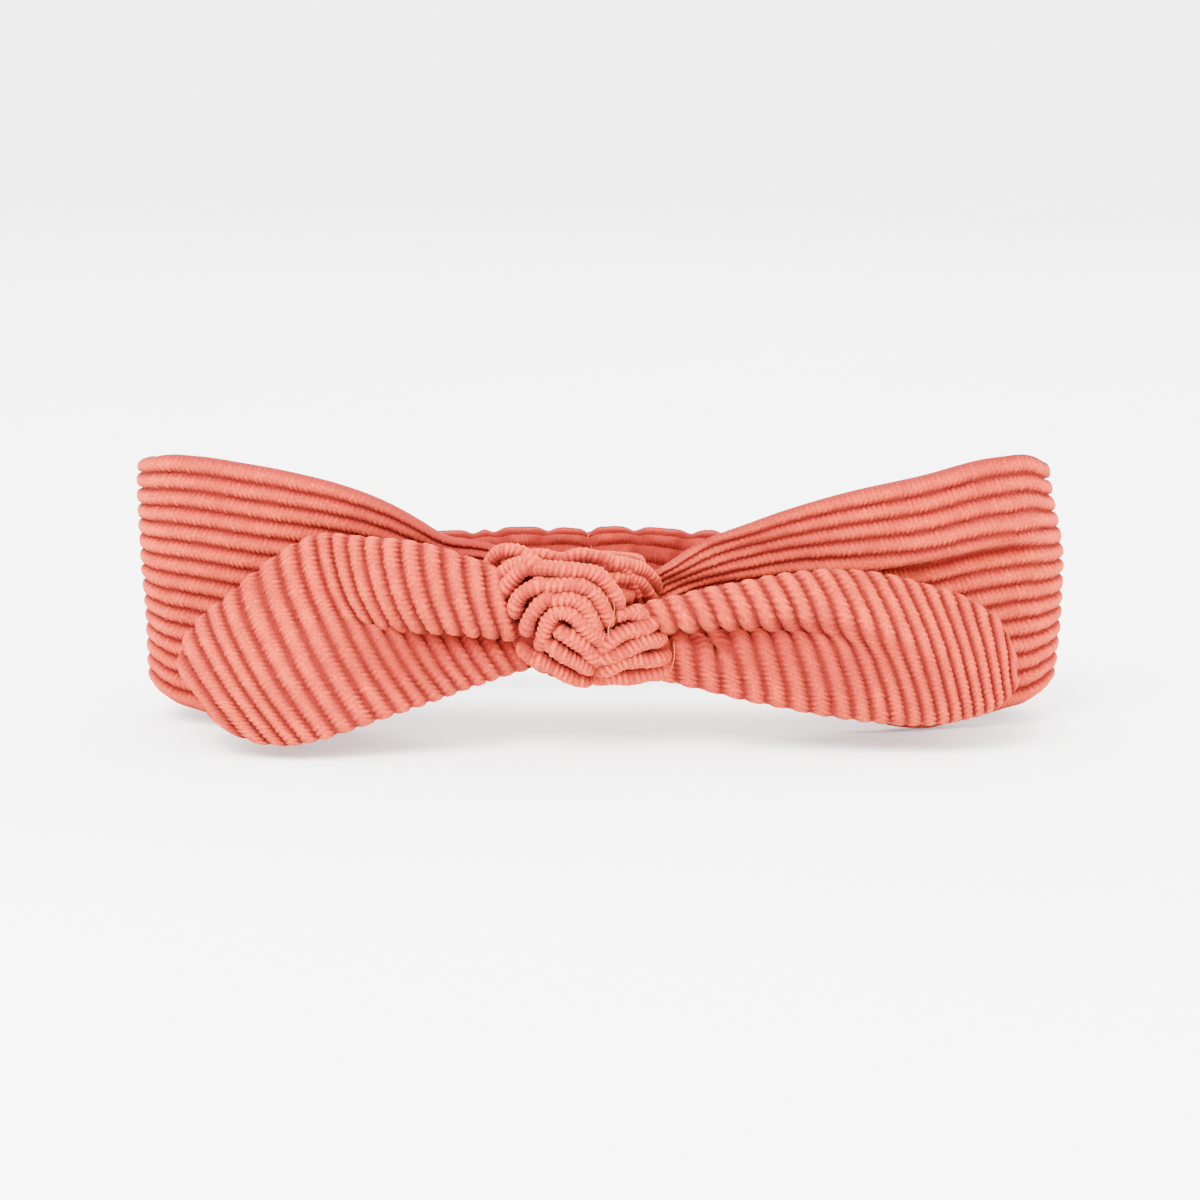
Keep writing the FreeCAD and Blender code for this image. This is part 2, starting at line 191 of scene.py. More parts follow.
def loop_line(run, offset, side):
    """A point on the loop in plan and its outward direction. run is the distance in mm from the middle of
    the front. The direction turns evenly along each of the three arcs, and the point is the arc's
    centre plus the direction times the radius and offset."""
    front, fold = run < FRONT_RUN, run < FRONT_RUN + FOLD_RUN
    angle = np.where(front, run / ARC_RADIUS, np.where(
        fold, TURN + (run - FRONT_RUN) / FOLD,
        math.pi - TURN + (run - FRONT_RUN - FOLD_RUN) / ARC_RADIUS))
    centre_x = np.where(front | ~fold, 0.0, FOLD_CENTRE)
    centre_y = np.where(front, ARC_CENTRE, np.where(fold, 0.0, -ARC_CENTRE))
    radius = np.where(front | ~fold, ARC_RADIUS, FOLD) + offset
    out_x, out_y = np.sin(angle), -np.cos(angle)
    return side * (centre_x + radius * out_x), LOOP_Y + centre_y + radius * out_y, side * out_x, out_y


def tuft_size(*numbers):
    """An uneven size from 0 to 1 for each tuft: the fraction left of a large sine of its numbers."""
    mixed = np.sin(sum(n * k for n, k in zip(numbers, (12.9898, 78.233)))) * 43758.5453
    return mixed - np.floor(mixed)


def rib_relief(ribs, along):
    """Height of the rib velour from 0 in a groove to about 1 on a rib. ribs counts across the ribs and along
    is in mm. Each rib is a flattened half circle. Its tufts lean out from the crest in chevrons, each a
    little longer or shorter than the next, so that the groove between two ribs runs in a fine zigzag."""
    number = np.floor(ribs)
    flank = np.abs(2 * (ribs - number) - 1)
    beat = along / TUFT + 0.45 * flank + 0.27 * number
    half = np.where(ribs - number < 0.5, 0, 0.5)
    tuft = np.floor(beat + half)
    within = np.sin(np.pi * (beat + half - tuft))
    chevron = within * (0.55 + 0.9 * tuft_size(tuft, number + half)) - 0.55
    dome = np.sqrt(np.clip(1 - (flank * (1.17 - 0.20 * chevron)) ** 2.2, 0, 1))
    uneven = np.sin(along * 0.83 + number * 2.1) + np.sin(along * 0.37 - number * 1.3)
    return dome * (1 + 0.03 * uneven + chevron * (0.08 + 0.30 * flank**1.5))


def cloth(name, shells, material):
    """A mesh of closed shells. Each shell has rings of points in mm, its relief, its flat coordinates and
    its painted shade. A ring is joined to the next by quads, and each end ring to its own middle point. The
    faces of a shell are turned if the volume that it encloses comes out negative. Relief and painted shade
    are kept on the points, and the flat coordinates as the UV map; the relief also sets the colour, pale on
    the crests and with painted shade in the grooves."""
    places, faces, flat, piles, painted_shades = [], [], [], [], []
    offset = 0
    for points, relief, uv, painted_shade in shells:
        rings, around = points.shape[:2]
        index = np.arange(rings * around).reshape(rings, around)
        near, far = index[:-1], index[1:]
        quads = np.stack([near, np.roll(near, -1, 1), np.roll(far, -1, 1), far], -1).reshape(-1, 4)
        first = np.stack([np.full(around, index.size), np.roll(index[0], -1), index[0]], -1)
        last = np.stack([np.full(around, index.size + 1), index[-1], np.roll(index[-1], -1)], -1)
        shell = np.concatenate([points.reshape(-1, 3), points[[0, -1]].mean(1)])
        corner = shell[quads]
        cross = np.cross(corner[:, 2] - corner[:, 0], corner[:, 3] - corner[:, 1])
        if np.sum((corner.mean(1) - shell.mean(0)) * cross) < 0:
            quads, first, last = quads[:, ::-1], first[:, ::-1], last[:, ::-1]
        faces += (quads + offset).tolist() + (first + offset).tolist() + (last + offset).tolist()
        offset += len(shell)
        places.append(shell)
        flat.append(np.concatenate([uv.reshape(-1, 2), uv[[0, -1]].mean(1)]))
        for values, kept in ((relief, piles), (painted_shade, painted_shades)):
            values = np.broadcast_to(values, (rings, around))
            kept.append(np.append(values.ravel(), values[[0, -1]].mean(1)))
    mesh = bpy.data.meshes.new(name)
    mesh.from_pydata((np.concatenate(places) * MM).tolist(), [], faces)
    mesh.polygons.foreach_set("use_smooth", np.ones(len(mesh.polygons), bool))
    corners = np.empty(len(mesh.loops), np.int64)
    mesh.loops.foreach_get("vertex_index", corners)
    layer = mesh.uv_layers.new(name="flat_cloth")
    layer.data.foreach_set("uv", np.concatenate(flat)[corners].astype(np.float32).ravel())
    for label, values in (("pile", piles), ("painted_shade", painted_shades)):
        attribute = mesh.attributes.new(label, "FLOAT", "POINT")
        attribute.data.foreach_set("value", np.concatenate(values).astype(np.float32))
    mesh.materials.append(material)
    piece = bpy.data.objects.new(name, mesh)
    bpy.context.scene.collection.objects.link(piece)
    return piece


# Cotton and polyester rib velour, piece dyed coral. The dense pile is matt and slightly shiny. Its colour
# follows the pile height, pale on the crests and a deep red between the ribs. This is partly the velour's
# own colour, where light only reaches the ground knit through the pile, and partly painted shade in the
# grooves.
velour, velour_tree, velour_shader = new_material("coral_rib_velour")
pile = add_node(velour_tree, "ShaderNodeAttribute", attribute_name="pile")
painted_shade = add_node(velour_tree, "ShaderNodeAttribute", attribute_name="painted_shade")
cloth_uv = add_node(velour_tree, "ShaderNodeUVMap", uv_map="flat_cloth")
# The flat coordinates are mm, so a noise of scale 1.6 has a grain of about 0.6 mm, half a tuft. The
# patches of scale 0.06 are some 17 mm wide, where the pile has been brushed one way or the other.
tufts = add_node(velour_tree, "ShaderNodeTexNoise",
                 {"Vector": cloth_uv.outputs["UV"], "Scale": 1.6, "Detail": 3.0, "Roughness": 0.6})
patches = add_node(velour_tree, "ShaderNodeTexNoise",
                   {"Vector": cloth_uv.outputs["UV"], "Scale": 0.06, "Detail": 2.0})
mottle = add_node(velour_tree, "ShaderNodeMath", {0: tufts.outputs["Fac"], 1: 0.90, 2: -0.58},
                  operation="MULTIPLY_ADD")
patch = add_node(velour_tree, "ShaderNodeMath", {0: patches.outputs["Fac"], 1: 0.30, 2: -0.15},
                 operation="MULTIPLY_ADD")
height = add_node(velour_tree, "ShaderNodeMath", {0: pile.outputs["Fac"], 1: mottle.outputs[0]},
                  operation="ADD")
shaded = add_node(velour_tree, "ShaderNodeMath", {0: height.outputs[0], 1: patch.outputs[0]},
                  operation="ADD")
# Painted shade is taken off the pile height, so the colour slides towards the deep red where shade falls.
after_painted_shade = add_node(velour_tree, "ShaderNodeMath", {0: shaded.outputs[0], 1: painted_shade.outputs["Fac"]},
                 operation="SUBTRACT", use_clamp=True)
# The ramp runs from the deep red of the grooves to the pale crests; its darker stops are partly painted
# shade in the grooves.
ramp = add_node(velour_tree, "ShaderNodeValToRGB", {"Fac": after_painted_shade.outputs[0]})
ramp.color_ramp.elements[0].position = 0.32
ramp.color_ramp.elements[0].color = linear("#761B16")
ramp.color_ramp.elements[1].position = 1.0
ramp.color_ramp.elements[1].color = linear("#B64126")
for position, colour in ((0.64, "#8C281C"), (0.84, "#A03420")):
    stop = ramp.color_ramp.elements.new(position)
    stop.color = linear(colour)
# The fuzz is a grain of 0.3 mm; single fibres are far finer and are not drawn.
fuzz = add_node(velour_tree, "ShaderNodeTexNoise",
                {"Vector": cloth_uv.outputs["UV"], "Scale": 3.2, "Detail": 2.0, "Roughness": 0.7})
raised = add_node(velour_tree, "ShaderNodeBump",
                  {"Strength": 0.5, "Distance": 0.0004, "Height": fuzz.outputs["Fac"]})
velour_tree.links.new(ramp.outputs["Color"], velour_shader.inputs["Base Color"])
velour_tree.links.new(raised.outputs["Normal"], velour_shader.inputs["Normal"])
velour_shader.inputs["Roughness"].default_value = 0.92
velour_shader.inputs["Specular IOR Level"].default_value = 0.1
velour_shader.inputs["Sheen Weight"].default_value = 0.25
velour_shader.inputs["Sheen Roughness"].default_value = 0.45
velour_shader.inputs["Sheen Tint"].default_value = linear("#FF8A66")


BAND_TOP = {
    "left": ([0, 13, 25, 37, 42, 51, 61, 70, 85, 95, 104, 108],
             [34, 39.5, 46.0, 48.6, 51.6, 56.3, 59.8, 61.9, 64.3, 65.4, 65.2, 63.8]),
    "right": ([0, 8, 15, 23, 37, 56, 75, 94, 103, 108],
              [34.5, 36.8, 41.3, 46.3, 51.8, 57.5, 61.3, 65.2, 65.0, 62.2]),
}
BAND_HEM = {
    "left": ([0, 25, 42, 60, 78, 88, 97, 103, 108], [20, 18, 12, 4, 0.2, 1.4, 3.6, 5.4, 9.0]),
    "right": ([0, 14, 42, 60, 78, 88, 97, 103, 108], [19, 18, 12, 4, 0.2, 1.8, 3.8, 5.4, 9.0]),
}
BACK_TOP = {
    "left": ([48, 58, 72, 88, 99, 105, 108], [42.0, 43.2, 48.0, 54.8, 59.4, 62.2, 63.8]),
    "right": ([48, 58, 72, 88, 99, 105, 108], [42.0, 43.2, 48.0, 54.8, 59.0, 61.2, 62.2]),
}
BACK_HEM = ([48, 58, 73, 88, 102, 108], [17.0, 15.8, 7.0, 0.4, 4.4, 9.0])


def band_edges(run, side_name):
    """Height of the hem and of the top edge along the loop, from the curves of the front or the back."""
    x = np.abs(loop_line(run, 0.0, 1)[0])
    front = run < FRONT_RUN + FOLD_RUN / 2
    hem = np.where(front, smooth_curve(x, *BAND_HEM[side_name]), smooth_curve(x, *BACK_HEM))
    top = np.where(front, smooth_curve(x, *BAND_TOP[side_name]), smooth_curve(x, *BACK_TOP[side_name]))
    return hem, top


def band_swell(run, height, side_name, lap_share=1.0):
    """How far the cloth stands off its even line, in mm: soft waves everywhere, gathers that deepen
    towards the knot, and on the right side one pleat, where the upper part laps over the lower."""
    x = loop_line(run, 0.0, 1)[0]
    front = run < FRONT_RUN + FOLD_RUN / 2
    wave = 0.5 * np.sin(run / 23.0 + height / 17.0) + 0.35 * np.sin(run / 9.5 - height / 11.0 + 1.0)
    gather = np.where(front, step_up(-x, -58.0, -12.0), 0.6 * step_up(-x, -88.0, -58.0))
    wave = wave + gather * 1.3 * np.sin(height * 0.62 + 0.05 * run)
    if side_name == "right":
        lap = height - (38.8 + 0.20 * (x - 61.0))
        extent = step_up(x, 44.0, 62.0) * (1 - step_up(x, 96.0, 104.0)) * front
        upper = 3.0 * step_up(lap, -1.2, 0.5) * np.exp(-np.clip(lap, 0, None) / 8.0)
        wave = wave + lap_share * extent * (upper - 1.6 * bump(lap, -2.2, 2.2))
        tip = bump(x, 98.5, 6.0) * (1 - step_up(x, 101.0, 107.0)) * bump(height, 48.5, 3.6)
        wave = wave + 2.2 * lap_share * front * tip
        fold = bump(run, FRONT_RUN + FOLD_RUN / 2, 17.0)
        wave = wave + fold * (1.6 * bump(height, 26.0, 18.0) - 3.2 * step_up(height, 40.0, 62.0))
    return wave


def edge_round(share, length, radius):
    """1 over the middle of a strip, falling to 0 at both edges along a quarter circle of that radius."""
    edge = np.minimum(share, 1 - share) * length
    return np.sqrt(np.clip(1 - (1 - np.clip(edge / radius, 0, 1)) ** 2, 0, 1))


def band_layer(name, side_name, start, end, direction, depth, points_per_rib, step):
    """One layer of a band half as rings across the band. The ribbed face runs from hem to top and a flat
    back returns. direction is 1 for the outer layer and -1 for the lining."""
    side = 1 if side_name == "right" else -1
    ribs_all = BAND_RIBS[side_name]
    rings = int((end - start) / step)
    run = np.linspace(start, end, rings)[:, None]
    hem, top = band_edges(run, side_name)
    turns = np.linspace(0, np.pi, points_per_rib, endpoint=False)
    ribs = (np.arange(ribs_all)[:, None] + (1 - np.cos(turns)) / 2).ravel()
    ribs = np.append(ribs, ribs_all)[None, :]
    share = ribs / ribs_all
    height = hem + (top - hem) * share
    relief = rib_relief(ribs, run)
    body = edge_round(share, top - hem, LAYER)
    thick = (LAYER - depth) * body + depth * relief * (0.35 + 0.65 * body)
    lap_share = 1.0 if direction > 0 else 0.3
    swell = band_swell(run, height, side_name, lap_share) * (0.25 + 0.75 * body)
    inner = np.linspace(0.985, 0.015, 12)[None, :]
    inner_height = hem + (top - hem) * inner
    inner_swell = band_swell(run, inner_height, side_name, lap_share) * 0.9
    offset = np.concatenate([direction * thick + swell, inner_swell + direction * 0.12 + 0 * run], 1)
    z = np.concatenate([height, inner_height], 1)
    x, y, out_x, out_y = loop_line(run, 0.0, side)
    points = np.stack([x + out_x * offset, y + out_y * offset, z], -1)
    across = np.concatenate([share, inner], 1) * BAND_WIDTH
    uv = np.stack([np.broadcast_to(run, across.shape if across.shape[0] > 1 else (rings, across.shape[1])),
                   np.broadcast_to(across, (rings, across.shape[1]))], -1)
    reliefs = np.concatenate([relief, np.full((rings, inner.shape[1]), FLAT_BACK)], 1)
    front = run < FRONT_RUN + FOLD_RUN / 2
    # Painted shade darkens the upper band towards the knot, where it turns away from the light, more on the
    # left; the folds at the sides get a little painted light.
    near_knot = np.where(front, step_up(-x * side, -75.0, -25.0), 0.0)
    deep = 0.44 if side_name == "left" else 0.16
    painted_shade = 0.04 + deep * near_knot * step_up(z, 25.0, 45.0) - 0.12 * step_up(x * side, 95.0, 110.0)
    return cloth(name, [(points, reliefs, uv, painted_shade)], velour)


KNOT_EDGE = {"left": 12.0, "right": 3.0}  # where the band disappears in the knot, mm
BACK_END = 2 * FRONT_RUN + FOLD_RUN - 57.0  # where the band meets the casing, mm along the loop
for side_name in ("left", "right"):
    panel = band_layer(f"{side_name}_outer_velour", side_name, KNOT_EDGE[side_name], BACK_END,
                       1, 1.5, POINTS_PER_RIB, STEP)
    sign = 1 if side_name == "right" else -1
    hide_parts(f"{side_name}_outer_panel")
    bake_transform(panel)


# ---- Band, lining --------------------------------------------------------------------------------
# The layer against the head, cut from the same rib velour as the outer layer and sewn to it along the
# hem and the top edge.

for side_name in ("left", "right"):
    lining = band_layer(f"{side_name}_lining_velour", side_name, KNOT_EDGE[side_name], BACK_END,
                        -1, 1.1, 8, 0.36)
    sign = 1 if side_name == "right" else -1
    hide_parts(f"{side_name}_lining")
    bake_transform(lining)


# ---- Seams of the band ----------------------------------------------------------------------------
# Spun polyester thread, one shade more orange than the cloth. The layers are locked together along the
# hem and the top edge; after turning, the stitches sit down in the groove between the two rolls.

STITCH = 2.6  # length of one lock stitch, mm
# Spun polyester sewing thread, matt with a faint shine. Its bands are under a tenth of a millimetre,
# finer than the real twist, so they only mix the two tones of orange.
thread, thread_tree, thread_shader = new_material("spun_polyester_thread")
ply = add_node(thread_tree, "ShaderNodeTexWave", {"Scale": 900.0, "Distortion": 0.5},
               bands_direction="DIAGONAL")
ply_tone = add_node(thread_tree, "ShaderNodeValToRGB", {"Fac": ply.outputs["Fac"]})
ply_tone.color_ramp.elements[0].color = linear("#8A3014")
ply_tone.color_ramp.elements[1].color = linear("#B4552A")
thread_tree.links.new(ply_tone.outputs["Color"], thread_shader.inputs["Base Color"])
thread_shader.inputs["Roughness"].default_value = 0.55
thread_shader.inputs["Specular IOR Level"].default_value = 0.15


def stitch_row(path, radius, stitch):
    """A thread along a path of points in mm, as rings: the radius swells and shrinks once a stitch, as a
    lock stitch does where it enters the cloth."""
    gap = np.linalg.norm(np.diff(path, axis=0), axis=1)
    run = np.concatenate([[0], np.cumsum(gap)])[:, None]
    forward = np.gradient(path, axis=0)
    forward /= np.linalg.norm(forward, axis=1, keepdims=True)
    side_way = np.cross(forward, [0.13, 0.31, 0.94])
    side_way /= np.linalg.norm(side_way, axis=1, keepdims=True)
    up = np.cross(side_way, forward)
    angle = np.linspace(0, 2 * np.pi, 6, endpoint=False)[None, :]
    size = radius * (0.55 + 0.45 * np.abs(np.sin(np.pi * run / stitch)))
    points = (path[:, None, :] + side_way[:, None, :] * (size * np.cos(angle))[..., None]
              + up[:, None, :] * (size * np.sin(angle))[..., None])
    uv = np.stack(np.broadcast_arrays(run, angle), -1)
    return points, np.ones(points.shape[:2]), uv, 0.0


for side_name in ("left", "right"):
    sign = 1 if side_name == "right" else -1
    run = np.linspace(KNOT_EDGE[side_name], BACK_END, 420)
    hem, top = band_edges(run, side_name)
    for edge_name, height, inset in (("hem", hem, 0.5), ("top", top, -0.5)):
        middle = band_swell(run, height, side_name) * 0.3
        x, y, out_x, out_y = loop_line(run, 0.0, sign)
        path = np.stack([x + out_x * middle, y + out_y * middle, height + inset], -1)
        row = cloth(f"{side_name}_{edge_name}_stitches", [stitch_row(path, 0.22, STITCH)], thread)
        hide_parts(f"{side_name}_{edge_name}_seam_thread")
        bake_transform(row)


# ---- Elastic and its casing ----------------------------------------------------------------------
# A 20 mm woven elastic pulls the back together. It runs inside a flat tube of the same velour, cut much
# longer than the elastic, so the tube puckers every centimetre or so. The tube is closed by an upright
# seam a little off the middle of the back.

casing_low, casing_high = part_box("left_casing")
CASING_BOTTOM, CASING_TOP = casing_low.z / MM, casing_high.z / MM
BACK_SEAM = casing_high.x / MM + 0.2
HALF_LOOP = 2 * FRONT_RUN + FOLD_RUN
CASING_RIBS = 7
CROWDING = 1.6  # how much closer the tufts sit in the gathered casing
CASING_END = 59.5  # x where the casing goes into the band, mm
END_SEAM = 58.2  # x of the seam at either end of the casing, mm
PUCKER_PLACES = {  # x of each pucker, from the side to the middle, mm
    "left": [54.5, 43.6, 33.0, 25.2, 12.9, 3.2],
    "right": [55.0, 44.4, 32.7, 21.5, 8.6, -2.0],
}


def casing_wall(side_name, face):
    """One wall of the casing tube, from the end seam to the back seam. Each ring is half a flattened oval
    with the ribs running along the tube, and a flat return inside it. At a pucker the oval draws in and
    the ribs sink. face is 1 for the outer wall and -1 for the wall against the head."""
    side = 1 if side_name == "right" else -1
    x_seam = BACK_SEAM * side
    x = np.linspace(CASING_END, x_seam - 0.5, 330)[:, None]
    run = HALF_LOOP - ARC_RADIUS * np.arcsin(x / ARC_RADIUS)
    turns = np.linspace(0, np.pi, 10, endpoint=False)
    ribs = (np.arange(CASING_RIBS)[:, None] + (1 - np.cos(turns)) / 2).ravel()
    ribs = np.append(ribs, CASING_RIBS)[None, :]
    even_rise = np.pi * (ribs / CASING_RIBS - 0.5)
    rise = even_rise + 0.07 * np.sin(x / 5.3) * np.cos(even_rise)
    pucker = 0
    for number, place in enumerate(PUCKER_PLACES[side_name]):
        pucker = pucker + bump(x + 1.6 * np.sin(rise * 2.1 + 2.4 * number), place, 1.9)
    pucker = np.clip(pucker, 0, 1)
    seam = bump(x, x_seam, 1.5)
    end = step_up(x, 54.0, 59.0)
    middle = (CASING_BOTTOM + CASING_TOP) / 2 + 0.4 * np.sin(x / 7.1 + side)
    half_height = (CASING_TOP - CASING_BOTTOM) / 2 * (1 - 0.045 * pucker - 0.02 * seam) - 0.7
    half_depth = 3.3 * (1 - 0.40 * pucker) * (1 - 0.25 * seam) * (1 - 0.35 * end)
    relief = rib_relief(ribs, x * CROWDING + 3.0) * (1 - 0.5 * pucker)
    c, s = np.cos(rise), np.sin(rise)
    up, out = np.sign(s) * np.abs(s) ** 0.72, np.abs(c) ** 0.62
    wobble = 0.45 * np.sin(x / 2.9 + 3 * rise) * (1 - pucker)
    offset = out * (half_depth + wobble) + c * relief * 1.5
    z = middle + up * half_height + s * relief * 0.8
    back = np.linspace(np.pi / 2 - 0.12, 0.12 - np.pi / 2, 16)[None, :]
    offset = np.concatenate([offset, 1.0 + 0.25 * np.cos(back) + 0 * x], 1) * face
    inner_height = (CASING_TOP - CASING_BOTTOM) / 2 * (1 - 0.05 * seam) - 2.0
    z = np.concatenate([z, middle + np.sin(back) * inner_height], 1)
    line_x, line_y, out_x, out_y = loop_line(run, 0.0, side)
    points = np.stack([line_x + out_x * offset, line_y + out_y * offset, z], -1)
    across = np.concatenate([ribs * RIB_PITCH, 30 + 10 * back], 1)
    uv = np.stack(np.broadcast_arrays(x * CROWDING, across), -1)
    reliefs = np.concatenate([relief, np.full((len(x), back.shape[1]), FLAT_BACK)], 1)
    # Painted shade: the casing is darker all over, darker still in the puckers and at the back seam, and its
    # flat return is darker too.
    painted_shade = 0.20 * pucker + 0.60 * seam + 0.36
    painted_shades = np.concatenate([painted_shade + 0 * ribs, np.full((len(x), back.shape[1]), 0.2)], 1)
    return points, reliefs, uv, painted_shades


for side_name in ("left", "right"):
    sign = 1 if side_name == "right" else -1
    walls = [casing_wall(side_name, 1), casing_wall(side_name, -1)]
    casing = cloth(f"{side_name}_casing_velour", walls, velour)
    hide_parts(f"{side_name}_casing")
    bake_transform(casing)

# Woven polyester and rubber webbing, natural white and matt. Each brick is one crossing of the weave,
# 0.9 by 0.6 mm, and its mortar is the shade between the yarns.
elastic_low, elastic_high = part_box("elastic")
webbing, webbing_tree, webbing_shader = new_material("woven_elastic_webbing")
weave_uv = add_node(webbing_tree, "ShaderNodeUVMap", uv_map="flat_cloth")
weave = add_node(webbing_tree, "ShaderNodeTexBrick",
                 {"Vector": weave_uv.outputs["UV"], "Scale": 1.0, "Color1": linear("#F2EEE4"),
                  "Color2": linear("#E2DCCF"), "Mortar": linear("#B9B1A2"), "Mortar Size": 0.08,
                  "Brick Width": 0.9, "Row Height": 0.6})
weave_bump = add_node(webbing_tree, "ShaderNodeBump", {"Strength": 0.6, "Distance": 0.0002,
                      "Height": weave.outputs["Fac"]}, invert=True)
webbing_tree.links.new(weave.outputs["Color"], webbing_shader.inputs["Base Color"])
webbing_tree.links.new(weave_bump.outputs["Normal"], webbing_shader.inputs["Normal"])
webbing_shader.inputs["Roughness"].default_value = 0.8
for side_name in ("left", "right"):
    sign = 1 if side_name == "right" else -1
    x = np.linspace(57.0, 0.0, 190)[:, None]
    corner = np.linspace(0, 2 * np.pi, 48, endpoint=False)[None, :]
    up = np.sign(np.sin(corner)) * np.abs(np.sin(corner)) ** 0.4
    out = np.sign(np.cos(corner)) * np.abs(np.cos(corner)) ** 0.4
    half_width = (elastic_high.z - elastic_low.z) / MM / 2 * (1 + 0.012 * np.cos(2 * np.pi * x / 1.1))
    offset = 0.7 * out + 0.25 * np.sin(x / 6.0)
    line_x, line_y, out_x, out_y = loop_line(HALF_LOOP - ARC_RADIUS * np.arcsin(x / ARC_RADIUS), 0.0, sign)
    z = (elastic_low.z + elastic_high.z) / MM / 2 + up * half_width
    points = np.stack([line_x + out_x * offset, line_y + out_y * offset, z], -1)
    uv = np.stack(np.broadcast_arrays(x, z), -1)
    half = cloth(f"elastic_{side_name}", [(points, np.ones(z.shape), uv, 0.0)], webbing)
    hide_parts("elastic")
    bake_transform(half)

# The back seam closes the tube with an overlocked edge; each end seam joins casing, elastic and band.
up_path = np.linspace(CASING_BOTTOM + 1.0, CASING_TOP - 1.0, 60)
for name, node, body, x, depth in (
        ("back_seam_stitches", "back_seam_thread", "knot", BACK_SEAM, 1.7),
        ("left_end_stitches", "left_end_seam_thread", "left_side", -END_SEAM, 3.0),
        ("right_end_stitches", "right_end_seam_thread", "right_side", END_SEAM, 3.0)):
    rows = []
    line_y = loop_line(HALF_LOOP - ARC_RADIUS * math.asin(abs(x) / ARC_RADIUS), 0.0, 1)[1]
    for face in (-1, 1):
        swing = 0.5 * np.sin(np.pi * up_path / STITCH)
        path = np.stack([x + swing, line_y + face * depth + 0 * up_path, up_path], -1)
        rows.append(stitch_row(path, 0.2, STITCH))
    seam_piece = cloth(name, rows, thread)
    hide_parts(node)
    if body == "knot":
        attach(seam_piece, "knot")
    else:
        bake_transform(seam_piece)


# ---- Knot ----------------------------------------------------------------------------------------
# The tie is one strip of velour with its ribs across it, knotted once round the gathered middle of the
# band. The strip is folded and drawn tight, so its ribs stand as separate rolls that fan and nest.

KNOT_HEART = (-6.5, -30.0, 31.0)
DIVE = 3.5  # how far a roll's ends pass under its neighbours, mm
ROSETTE_DOME = {"x": -7.0, "z": 34.5, "depth": 43.0, "fall_x": 0.020, "fall_z": 0.0175}
BACK_DOME = {"x": -12.0, "z": 40.0, "depth": 36.0, "fall_x": 0.0155, "fall_z": 0.010}
LAST_TURN_DOME = {"x": 2.0, "z": 27.0, "depth": 41.0, "fall_x": 0.022, "fall_z": 0.030}


def arc(x, z, half_width, half_height, start, end):
    """x and height along part of an ellipse about a middle point, between two angles in degrees."""
    angle = np.radians(np.linspace(start, end, 80))
    return x + half_width * np.cos(angle), z + half_height * np.sin(angle)


def bowed(start, end, bow):
    """x and height from one point to another, pushed to the left of that way by half a sine."""
    share = np.linspace(0, 1, 80)
    way = np.subtract(end, start)
    push = bow * np.sin(np.pi * share) / np.hypot(*way)
    return start[0] + way[0] * share - way[1] * push, start[1] + way[1] * share + way[0] * push


def roll(outline, dome, radius, crest, painted_shade=0.05):
    """One rib of the tie as a tapering roll along an outline of x and height in mm. Its depth in front of
    the band's middle line is a shallow dome, less a dive at both ends. The round section stands away from
    the heart of the knot; tufts swell it in chevrons. Its colour is pale on the crest and deep red on the
    flanks, partly the velour's own colour and partly painted shade where it meets its neighbours."""
    x, z = outline
    share = np.linspace(0, 1, len(x))
    depth = (dome["depth"] - dome["fall_x"] * (x - dome["x"]) ** 2 - dome["fall_z"] * (z - dome["z"]) ** 2
             - DIVE * np.abs(2 * share - 1) ** 6)
    rough = np.stack([x, -depth, z], -1)
    chord = np.concatenate([[0], np.cumsum(np.linalg.norm(np.diff(rough, axis=0), axis=1))])
    run = np.linspace(0, chord[-1], max(int(chord[-1] / 0.24), 24))
    line = np.stack([np.interp(run, chord, rough[:, axis]) for axis in range(3)], -1)
    line[:, 0] += 0.30 * np.sin(run / 2.6 + 2.0 * crest)
    line[:, 2] += 0.30 * np.sin(run / 2.1 + 3.0 * crest)
    forward = np.gradient(line, axis=0)
    forward /= np.linalg.norm(forward, axis=1, keepdims=True)
    away = line - np.array(KNOT_HEART)
    away -= forward * np.sum(away * forward, axis=1, keepdims=True)
    away /= np.linalg.norm(away, axis=1, keepdims=True)
    across = np.cross(forward, away)
    angle = np.linspace(-np.pi, np.pi, 40, endpoint=False)[None, :]
    share = (run / chord[-1])[:, None]
    taper = np.sqrt(np.clip(1 - np.abs(2 * share - 1) ** 7, 0, 1)) * 0.98 + 0.02
    flank = np.abs(angle) / (np.pi / 2)
    half = np.where(angle < 0, 0, 0.5)
    beat = run[:, None] / TUFT + 0.36 * flank + crest + half
    tuft = np.floor(beat)
    chevron = np.sin(np.pi * (beat - tuft)) * (0.5 + 1.0 * tuft_size(tuft, crest + half)) - 0.6
    uneven = 0.05 * np.sin(run[:, None] * 0.9 + crest)
    swell = 1 + chevron * (0.06 + 0.20 * np.clip(flank, 0, 1) ** 1.5) + uneven
    size = radius * taper * swell
    ring = (line[:, None, :] + away[:, None, :] * (size * np.cos(angle))[..., None]
            + across[:, None, :] * (size * np.sin(angle))[..., None])
    ring[..., 1] += LOOP_Y
    dome_shade = np.sqrt(np.clip(1 - np.clip(flank * 0.92, 0, 1) ** 2.2, 0, 1))
    relief = dome_shade * (1 + chevron * (0.26 + 0.55 * flank))
    uv = np.stack(np.broadcast_arrays(run[:, None], angle * radius), -1)
    return ring, relief, uv, painted_shade


